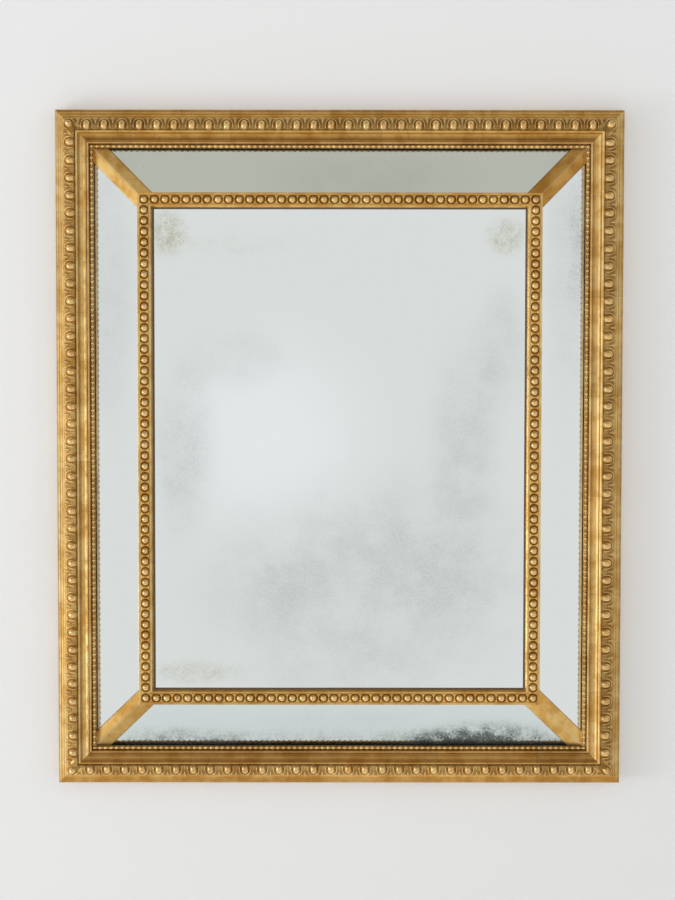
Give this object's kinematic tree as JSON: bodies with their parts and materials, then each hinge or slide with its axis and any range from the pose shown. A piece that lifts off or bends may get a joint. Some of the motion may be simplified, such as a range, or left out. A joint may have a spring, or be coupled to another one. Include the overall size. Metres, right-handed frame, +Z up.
{
  "type": "cushion mirror",
  "caption": "Wall mirror with a raised centre plate inside sloping margin plates, held by gilt egg-and-dart outer rails, ridge bars and a pearled inner frame, hung by rings.",
  "frame": {"origin": "middle of the flush back, on the wall plane", "axes": "+X to the viewer's right, +Y out of the back towards the wall, +Z up"},
  "size_m": [0.92, 0.0629, 1.1],
  "materials": {
    "gilt_wood": "worn gold leaf on gessoed pine",
    "gilt_ornament": "worn gold leaf on cast ornament, toned in the recesses",
    "margin_mirror": "old silvered plate",
    "centre_mirror": "old silvered plate with foxing",
    "pine": "raw sawn pine",
    "back_pine": "aged pine boards",
    "hanger_steel": "dulled steel"
  },
  "bodies": {
    "mirror": {"outer_rail_bottom": "gilt_wood", "egg_strip_bottom": "gilt_ornament", "sight_bead_bottom": "gilt_ornament", "margin_plate_bottom": "margin_mirror", "margin_board_bottom": "pine", "inner_rail_bottom": "gilt_wood", "pearl_strip_bottom": "gilt_ornament", "riser_bottom": "pine", "outer_rail_right": "gilt_wood", "egg_strip_right": "gilt_ornament", "sight_bead_right": "gilt_ornament", "margin_plate_right": "margin_mirror", "margin_board_right": "pine", "inner_rail_right": "gilt_wood", "pearl_strip_right": "gilt_ornament", "riser_right": "pine", "outer_rail_top": "gilt_wood", "egg_strip_top": "gilt_ornament", "sight_bead_top": "gilt_ornament", "margin_plate_top": "margin_mirror", "margin_board_top": "pine", "inner_rail_top": "gilt_wood", "pearl_strip_top": "gilt_ornament", "riser_top": "pine", "outer_rail_left": "gilt_wood", "egg_strip_left": "gilt_ornament", "sight_bead_left": "gilt_ornament", "margin_plate_left": "margin_mirror", "margin_board_left": "pine", "inner_rail_left": "gilt_wood", "pearl_strip_left": "gilt_ornament", "riser_left": "pine", "ridge_bar_bottom_right": "gilt_wood", "ridge_bar_top_right": "gilt_wood", "ridge_bar_top_left": "gilt_wood", "ridge_bar_bottom_left": "gilt_wood", "cushion_ribs": "pine", "mitre_keys": "pine", "centre_plate": "centre_mirror", "centre_board": "pine", "back_board_1": "back_pine", "back_board_2": "back_pine", "back_board_3": "back_pine", "back_board_4": "back_pine", "back_board_5": "back_pine", "hanger_strap_left": "hanger_steel", "hanger_strap_right": "hanger_steel", "hanger_screws": "hanger_steel"},
    "left_ring": {"hanger_ring_left": "hanger_steel"},
    "right_ring": {"hanger_ring_right": "hanger_steel"}
  },
  "joints": [
    {"name": "left_ring_swing", "type": "hinge", "parent": "mirror", "child": "left_ring", "pos_m": [-0.422, 0.00358, 0.42], "axis": [-1, 0, 0], "range_deg": [0, 165]},
    {"name": "right_ring_swing", "type": "hinge", "parent": "mirror", "child": "right_ring", "pos_m": [0.422, 0.00358, 0.42], "axis": [-1, 0, 0], "range_deg": [0, 165]}
  ]
}
